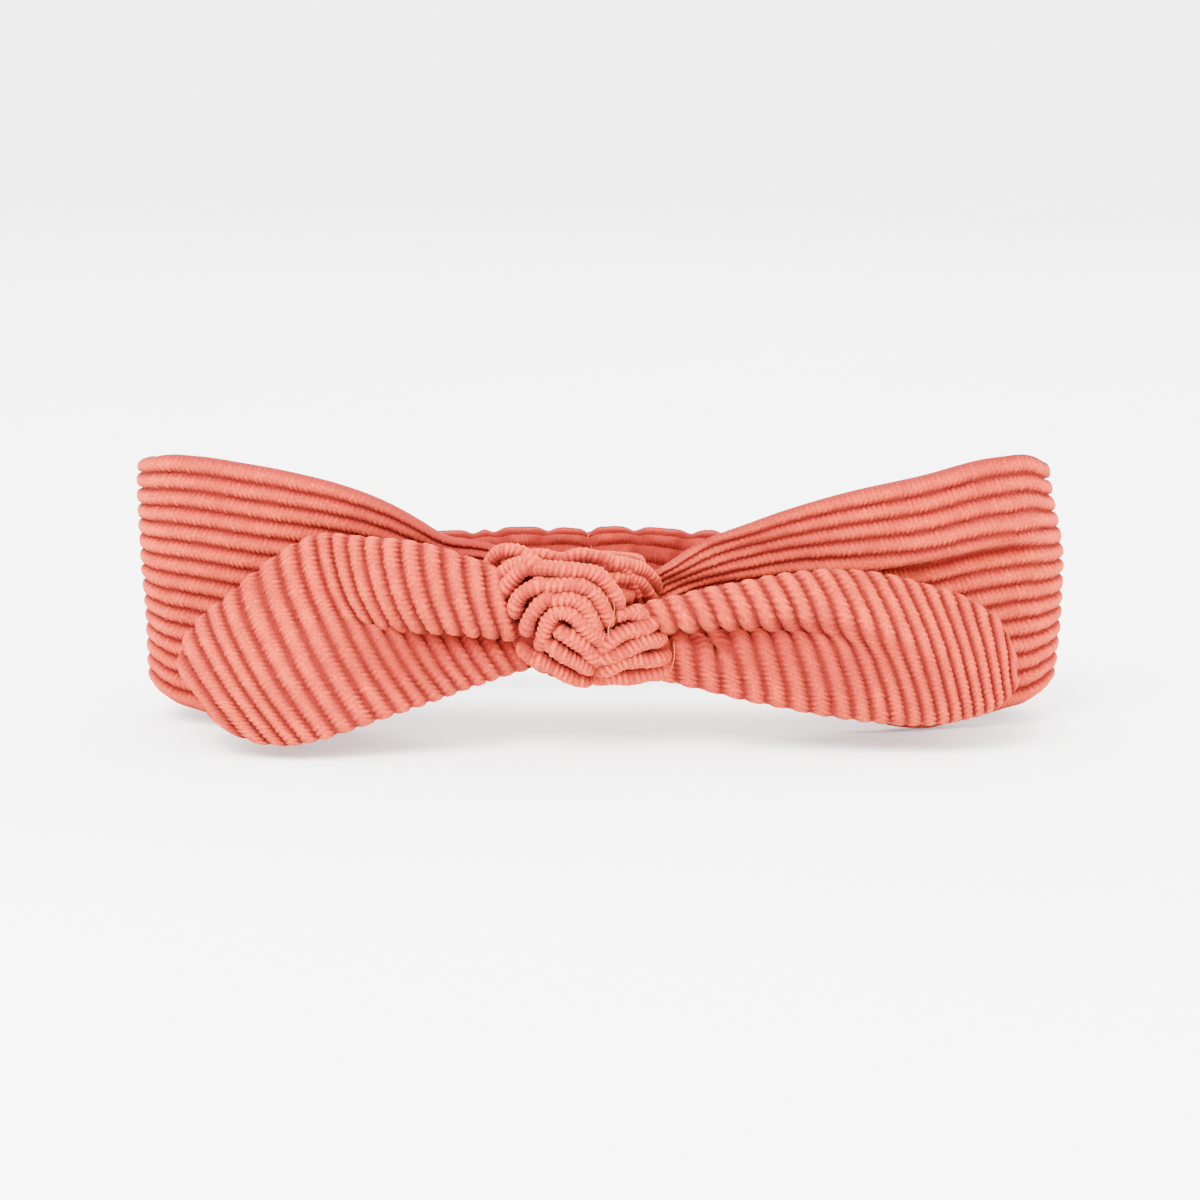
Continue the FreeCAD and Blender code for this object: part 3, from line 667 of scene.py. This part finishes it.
def pad(middle, radii, painted_shade):
    """The strip's cloth behind the rolls: a rounded, ribbed lump about a point (x, depth, height), darkened
    by painted shade where it lies behind the rolls.
    """
    turns = np.linspace(0, np.pi, 8, endpoint=False)
    ribs = (np.arange(10)[:, None] + (1 - np.cos(turns)) / 2).ravel()[:, None]
    rise = 0.02 + ribs / 10 * (np.pi - 0.04)
    angle = np.linspace(0, 2 * np.pi, 140, endpoint=False)[None, :]
    relief = rib_relief(ribs, angle * 12.0)
    size = 0.90 + 0.10 * relief
    x = middle[0] + radii[0] * np.sin(rise) * np.cos(angle) * size
    y = LOOP_Y - middle[1] + radii[1] * np.sin(rise) * np.sin(angle) * size
    z = middle[2] + radii[2] * np.cos(rise) * size
    uv = np.stack(np.broadcast_arrays(angle * 12.0, rise * 12.0), -1)
    return np.stack([x, y, z], -1), relief, uv, painted_shade


# Two folds stand behind the rosette on the left, and three fan out to the right under the band.
core_rolls = [roll(outline, BACK_DOME, 1.75, 0.7 * number) for number, outline in enumerate((
    arc(-20.6, 41.8, 5.2, 5.4, 185, 25),
    arc(-14.2, 41.0, 6.2, 4.8, 165, 40),
    arc(-3.4, 34.8, 11.6, 10.8, 132, -5),
    arc(2.8, 33.2, 11.2, 10.2, 118, 18),
    arc(3.0, 31.4, 9.4, 9.0, 112, 10)))]
core_rolls.append(roll(arc(-17.2, 39.4, 6.0, 5.6, 172, 48), ROSETTE_DOME, 1.75, 2.6))

# The crown: four arcs, each nested one rib's pitch inside the last and less wide. A crease runs down
# through the outer three, so their left parts end there and their right parts start a little lower.
CROWN = ((168, -8), (180, -12), (186, 0), (190, 30))  # start and end of each arc, degrees
CREASED = 3  # how many of them the crease splits
for number, (start, end) in enumerate(CROWN):
    middle_x, middle_z = -9.2 + 0.35 * number, 35.8 - 3.2 * number
    half_width, half_height = 13.6 - 2.8 * number, 9.2 - 0.3 * number
    crease = 121 - 5 * number
    if number < CREASED:
        parts = ((start, crease - 6, 0.0), (crease + 3, end, -0.9))
    else:
        parts = ((start, end, 0.0),)
    for first, last, lower in parts:
        crown = arc(middle_x, middle_z + lower, half_width, half_height, first, last)
        core_rolls.append(roll(crown, ROSETTE_DOME, 1.85 - 0.05 * number, 3.1 + 0.8 * number - lower))

# Below the crown the ribs run down to the right, one pitch apart; the last one is cut short.
for number in range(4):
    below = bowed((-6.6 - 3.3 * number, 33.3 - 3.0 * number), (1.6 - 1.3 * number, 24.2 - 2.6 * number),
                  1.1 - 0.6 * number)
    core_rolls.append(roll(below, ROSETTE_DOME, 2.05 - 0.1 * number, 0.6 + 0.9 * number))
core_rolls.append(roll(bowed((-18.4, 25.0), (-12.0, 20.8), -0.6), ROSETTE_DOME, 1.7, 3.8))
core_rolls.append(pad((-8.6, 32.6, 31.0), (13.0, 7.2, 14.4), 0.42))
core_rolls.append(pad((-7.0, 30.0, 39.6), (15.0, 5.0, 4.4), 0.35))
core_rolls.append(pad((7.0, 26.6, 37.6), (4.6, 3.2, 4.2), 0.35))
core = cloth("knot_rosette", core_rolls, velour)
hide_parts("knot_core")
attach(core, "knot")

# The last turn of the tie fans out to the right from under the rosette.
strand_rolls = [roll(bowed((3.0, 32.0), (10.8, 32.2), 1.1), LAST_TURN_DOME, 1.6, 0.2)]
for number in range(4):
    turn_rib = bowed((-1.0 - 0.3 * number, 23.6 - 2.2 * number), (14.0 + 0.8 * number, 30.9 - 4.3 * number),
                     1.7 - 0.3 * number)
    strand_rolls.append(roll(turn_rib, LAST_TURN_DOME, 1.9, 1.3 + 0.9 * number))
strand_rolls.append(pad((6.6, 32.5, 24.0), (10.0, 4.8, 8.4), 0.35))
strand = cloth("knot_last_turn", strand_rolls, velour)
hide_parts("knot_strand")
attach(strand, "knot")


WRAP_PITCH = 4.2  # the tie is drawn tight, so its ribs stand closer


def wrap_ring():
    """The tie's loop round the band. Its middle line is a rounded rectangle seen from the side, run once
    round from the front; the strip is flat, with ribs across it and thin rounded edges."""
    wrap_low, wrap_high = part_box("knot_wrap")
    half_y = (wrap_high.y - wrap_low.y) / MM / 2 - 2.6
    half_z = (wrap_high.z - wrap_low.z) / MM / 2 - 5.4
    middle_y, middle_z = (wrap_low.y + wrap_high.y) / MM / 2, (wrap_low.z + wrap_high.z) / MM / 2 - 0.8
    turn = np.linspace(0, 2 * np.pi, 420)
    c, s = np.cos(turn), np.sin(turn)
    y = -half_y * np.sign(c) * np.abs(c) ** 0.62
    z = half_z * np.sign(s) * np.abs(s) ** 0.62
    run = np.concatenate([[0], np.cumsum(np.hypot(np.diff(y), np.diff(z)))])
    even = np.linspace(0, run[-1], 420)
    y, z = np.interp(even, run, y), np.interp(even, run, z)
    out_y, out_z = np.gradient(z), -np.gradient(y)
    size = np.hypot(out_y, out_z)
    out_y, out_z = (out_y / size)[:, None], (out_z / size)[:, None]
    front = bump(np.minimum(even, run[-1] - even)[:, None], 0, 12.0)
    full_width = (wrap_high.x - wrap_low.x) / MM / 2 - 2.0
    half_width = full_width * (1 - 0.25 * front) + 0.6 * np.sin(even / 6)[:, None]
    middle_x = (wrap_high.x + wrap_low.x) / MM / 2
    angle = np.linspace(0, 2 * np.pi, 130, endpoint=False)[None, :]
    across = np.sign(np.cos(angle)) * np.abs(np.cos(angle)) ** 0.7
    level = np.sign(np.sin(angle)) * np.abs(np.sin(angle)) ** 0.7
    ribs = even[:, None] / WRAP_PITCH + 0.35 * across**2
    relief = rib_relief(ribs, across * half_width)
    thick = 1.3 + 1.5 * relief
    x = middle_x + across * (half_width - 0.7 * (1 - relief))
    outward = level * thick + 0.5 * np.sin(even / 5.0)[:, None] * across
    y = middle_y + y[:, None] + out_y * outward
    z = middle_z + z[:, None] + out_z * outward
    points = np.stack([x, y, z], -1)
    uv = np.stack(np.broadcast_arrays(across * half_width, ribs * RIB_PITCH), -1)
    return points, relief, uv, 0.05


wrap = cloth("knot_loop_velour", [wrap_ring()], velour)
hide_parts("knot_wrap")
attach(wrap, "knot")


WAIST_RIBS = 22


def waist_bundle():
    """The band gathered in the knot: an oval bundle along X with the band's ribs pressed together."""
    x = np.linspace(waist_low.x / MM - 3.0, waist_high.x / MM + 1.0, 150)[:, None]
    turns = np.linspace(0, np.pi, 9, endpoint=False)
    ribs = (np.arange(WAIST_RIBS)[:, None] + (1 - np.cos(turns)) / 2).ravel()[None, :]
    angle = 2 * np.pi * ribs / WAIST_RIBS
    relief = rib_relief(ribs, x)
    c, s = np.cos(angle), np.sin(angle)
    ends = np.minimum(x - x[0], x[-1] - x)
    taper = 0.5 + 0.5 * step_up(ends, 0.0, 6.0)
    half_y = ((waist_high.y - waist_low.y) / MM / 2 - 1.4) * taper
    half_z = ((waist_high.z - waist_low.z) / MM / 2 - 1.4) * taper
    y = (waist_low.y + waist_high.y) / MM / 2 + np.sign(c) * np.abs(c) ** 0.8 * half_y + c * relief * 1.2
    z = (waist_low.z + waist_high.z) / MM / 2 + np.sign(s) * np.abs(s) ** 0.8 * half_z + s * relief * 1.2
    points = np.stack(np.broadcast_arrays(x, y, z), -1)
    uv = np.stack(np.broadcast_arrays(x, ribs * 3.0), -1)
    return points, relief, uv, 0.12


bundle = cloth("gathered_waist_velour", [waist_bundle()], velour)
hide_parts("gathered_waist")
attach(bundle, "knot")


def loose_end(top, bottom, bow, sway, lift, late):
    """The free end of a thread from one place (x, depth in front, height) to another. It bows sideways by
    half a sine and sways by a whole one, and rises over the rolls by a hill; late above 1 moves the
    hill towards the end."""
    share = np.linspace(0, 1, 60)
    x, depth, z = (first + (last - first) * share for first, last in zip(top, bottom))
    x = x + bow * np.sin(np.pi * share) + sway * np.sin(2 * np.pi * share)
    depth = depth + lift * np.sin(np.pi * share**late)
    return stitch_row(np.stack([x, LOOP_Y - depth, z], -1), 0.17, 40.0)


# Two tacking threads hold the knot. Their ends are left long and lie loose on the cloth.
loose_ends = [
    loose_end((2.6, 41.8, 37.4), (2.2, 43.4, 28.0), 0.3, 0.6, 1.1, 2),
    loose_end((17.0, 37.4, 26.2), (15.8, 36.4, 18.2), 0.6, 0.0, 1.6, 1)]
tacking = cloth("knot_loose_threads", loose_ends, thread)
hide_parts("knot_tacking_thread")
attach(tacking, "knot")


# ---- Tails ---------------------------------------------------------------------------------------
# The two free ends of the tie. Each is a leaf cut twice from the rib velour with the ribs running
# across it, sewn round its edge and turned, so every rib ends in a small rounded nose at the seam.

TAIL_RIBS = {"left": 19, "right": 22}
TAILS = {
    "left": {
        "places": [0, 0.18, 0.39, 0.55, 0.66, 0.77, 0.88, 0.955, 1.0],
        "upper": [(22.5, -30, 42.5), (38.5, -33, 48.9), (55.5, -30, 49.9), (67.5, -27.5, 48.9),
                  (76.8, -27, 43.0), (86.3, -27, 34.8), (93.3, -27.5, 28.8), (96.8, -28.5, 22.5),
                  (96.3, -30, 17.0)],
        "lower": [(12.5, -31.5, 19.4), (24, -37, 17.0), (37, -41, 13.1), (48.5, -44, 9.7),
                  (58, -45.5, 6.6), (66.5, -46, 4.2), (74, -45, 3.3), (81.5, -42.5, 4.6), (89, -38, 9.2)],
    },
    "right": {
        "places": [0, 0.24, 0.43, 0.60, 0.75, 0.87, 0.95, 1.0],
        "upper": [(6, -32, 33.6), (28.5, -32, 39.0), (46, -30, 41.4), (62, -28, 40.8), (76, -27, 37.6),
                  (86.5, -27, 33.8), (93.5, -28, 28.4), (96.3, -30, 22)],
        "lower": [(13, -34, 16.4), (40, -38, 10.8), (60.5, -40, 7.7), (75, -40, 6.9), (85, -38, 7.9),
                  (91.5, -36, 10.1), (94.6, -34, 12.6), (96.2, -32, 16)],
    },
}


def tail_fold(place, share, side_name):
    """How far the tail's cloth stands forward of its even surface, in mm. Near the knot it is folded
    lengthwise: a full upper lobe hangs over a sunken lower one. The fold opens out along the tail."""
    if side_name == "left":
        crease = 0.36 + 0.30 * place
        strength = 1 - step_up(place, 0.20, 0.52)
        lobe = step_up(share, crease - 0.05, crease + 0.03) * (0.6 + 0.4 * bump(share, crease + 0.25, 0.3))
        sweep = bump(place, 0.50, 0.24) * bump(share, crease + 0.02, 0.16)
        return 6.5 * strength * lobe - 3.0 * strength * bump(share, crease - 0.1, 0.12) + 2.0 * bump(
            place, 0.80, 0.25) * np.sin(np.pi * share) - 2.0 * sweep
    ridge = 0.80 - 0.55 * step_up(place, 0.35, 0.95)
    strength = 1 - 0.70 * step_up(place, 0.25, 0.80)
    below = ridge - share
    drop = 0.08 + 0.26 * step_up(place, 0.15, 0.70)
    rim = np.where(below > 0, np.exp(-((below / drop) ** 2)), np.exp(-((below / 0.30) ** 2)))
    valley = bump(share, ridge - 0.17, 0.13) * (1 - step_up(place, 0.30, 0.66))
    funnel = bump(share, 0.47, 0.10) * bump(place, 0.135, 0.028)
    return 4.6 * strength * rim - 3.0 * valley - 4.5 * funnel


def tail_layer(name, side_name, direction, depth, along_step):
    """One layer of a tail as rings that follow the ribs. The middle surface is ruled between the lower and
    upper outlines and moved by the fold; the ribbed face stands off it along its own normal, and a
    flat back returns. direction is 1 for the front layer and -1 for the back."""
    side = 1 if side_name == "right" else -1
    tail = TAILS[side_name]
    ribs_all = TAIL_RIBS[side_name]
    turns = np.linspace(0, np.pi, 12, endpoint=False)
    ribs = (np.arange(ribs_all)[:, None] + (1 - np.cos(turns)) / 2).ravel()
    ribs = np.append(ribs, ribs_all)[:, None]
    place = ribs / ribs_all
    upper = smooth_curve(place[:, 0], tail["places"], tail["upper"])
    lower = smooth_curve(place[:, 0], tail["places"], tail["lower"])
    length = np.linalg.norm(upper - lower, axis=1)[:, None]
    share = np.linspace(0, 1, int(length.max() / along_step))
    share = (share - np.sin(2 * np.pi * share) / (2 * np.pi) * 0.55)[None, :]
    along = share * length
    relief = rib_relief(ribs, along)
    body = edge_round(share, length, 2.7)
    inside = np.arange(share.shape[1] - 3, 2, -4)
    inner = share[:, inside]

    def middle_surface(shares):
        if side_name == "left":
            lean = 1 - (1 - shares) ** (2.1 - 0.9 * place)
        else:
            lean = shares**(1.9 - 0.7 * place)
        base = lower[:, None, :] + (upper - lower)[:, None, :] * shares[..., None]
        base[..., 0] = lower[:, None, 0] + (upper - lower)[:, None, 0] * lean
        base = base + np.array([0, -1, 0]) * tail_fold(place, shares, side_name)[..., None]
        return base

    pull = 0.9 * (1 - relief) / length * (1 - body)
    pulled = np.clip(share + np.where(share < 0.5, pull, -pull), 0, 1)
    base = middle_surface(pulled + 0 * ribs)
    smooth_base = middle_surface(np.broadcast_to(share, relief.shape))
    normal = np.cross(np.gradient(smooth_base, axis=0), np.gradient(smooth_base, axis=1))
    normal /= np.linalg.norm(normal, axis=-1, keepdims=True) + 1e-9
    normal *= np.where(normal[..., 1:2] > 0, -1, 1)
    thick = (2.6 - depth) * body + depth * relief * (0.3 + 0.7 * body)
    face = base + direction * normal * thick[..., None]
    inner_face = smooth_base[:, inside] + direction * normal[:, inside] * 0.15
    points = np.concatenate([face, inner_face], 1)
    points[..., 0] *= side
    points[..., 1] += LOOP_Y
    across = np.concatenate([along, inner * length], 1)
    uv = np.stack([across, np.broadcast_to(ribs * RIB_PITCH, across.shape)], -1)
    reliefs = np.concatenate([relief, np.full((len(ribs), inner.shape[1]), FLAT_BACK)], 1)
    shares = np.concatenate([np.broadcast_to(share, relief.shape), inner + 0 * ribs], 1)
    # Painted shade: on the left tail the lower lobe, under the overhanging upper lobe, is darker near the
    # knot; on the right tail the cloth below the ridge is darker, and the funnel most of all.
    if side_name == "left":
        crease = 0.36 + 0.30 * place
        painted_fold_shade = (1 - step_up(place, 0.30, 0.72)) * (1 - step_up(shares, crease - 0.03, crease + 0.02))
        painted_fold_shade = painted_fold_shade * (0.12 + 0.26 * step_up(shares, 0.0, 0.3))
    else:
        ridge = 0.80 - 0.55 * step_up(place, 0.35, 0.95)
        painted_fold_shade = (1 - step_up(place, 0.35, 0.85)) * (1 - step_up(shares, ridge - 0.10, ridge - 0.01))
        painted_fold_shade = painted_fold_shade * (0.10 + 0.14 * step_up(shares, 0.1, 0.45))
        painted_fold_shade = painted_fold_shade + 0.35 * bump(shares, 0.47, 0.08) * bump(place, 0.135, 0.025)
    return cloth(name, [(points, reliefs, uv, painted_fold_shade)], velour)


for side_name in ("left", "right"):
    sign = 1 if side_name == "right" else -1
    for layer_name, direction in (("front", 1), ("back", -1)):
        layer = tail_layer(f"{side_name}_tail_{layer_name}_velour", side_name, direction, 1.7, 0.26)
        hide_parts(f"{side_name}_tail_{layer_name}")
        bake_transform(layer)
    tail = TAILS[side_name]
    place = np.linspace(0, 1, 200)
    upper = smooth_curve(place, tail["places"], tail["upper"])
    lower = smooth_curve(place, tail["places"], tail["lower"])
    upper[:, 1] -= tail_fold(place, 1.0, side_name)
    lower[:, 1] -= tail_fold(place, 0.0, side_name)
    upper += (lower - upper) / np.linalg.norm(lower - upper, axis=1, keepdims=True) * 0.6
    lower += (upper - lower) / np.linalg.norm(lower - upper, axis=1, keepdims=True) * 0.6
    path = np.concatenate([upper, lower[::-1]])
    path[:, 0] *= sign
    path[:, 1] += LOOP_Y
    seam_piece = cloth(f"{side_name}_tail_stitches", [stitch_row(path, 0.2, STITCH)], thread)
    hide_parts(f"{side_name}_tail_seam_thread")
    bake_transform(seam_piece)
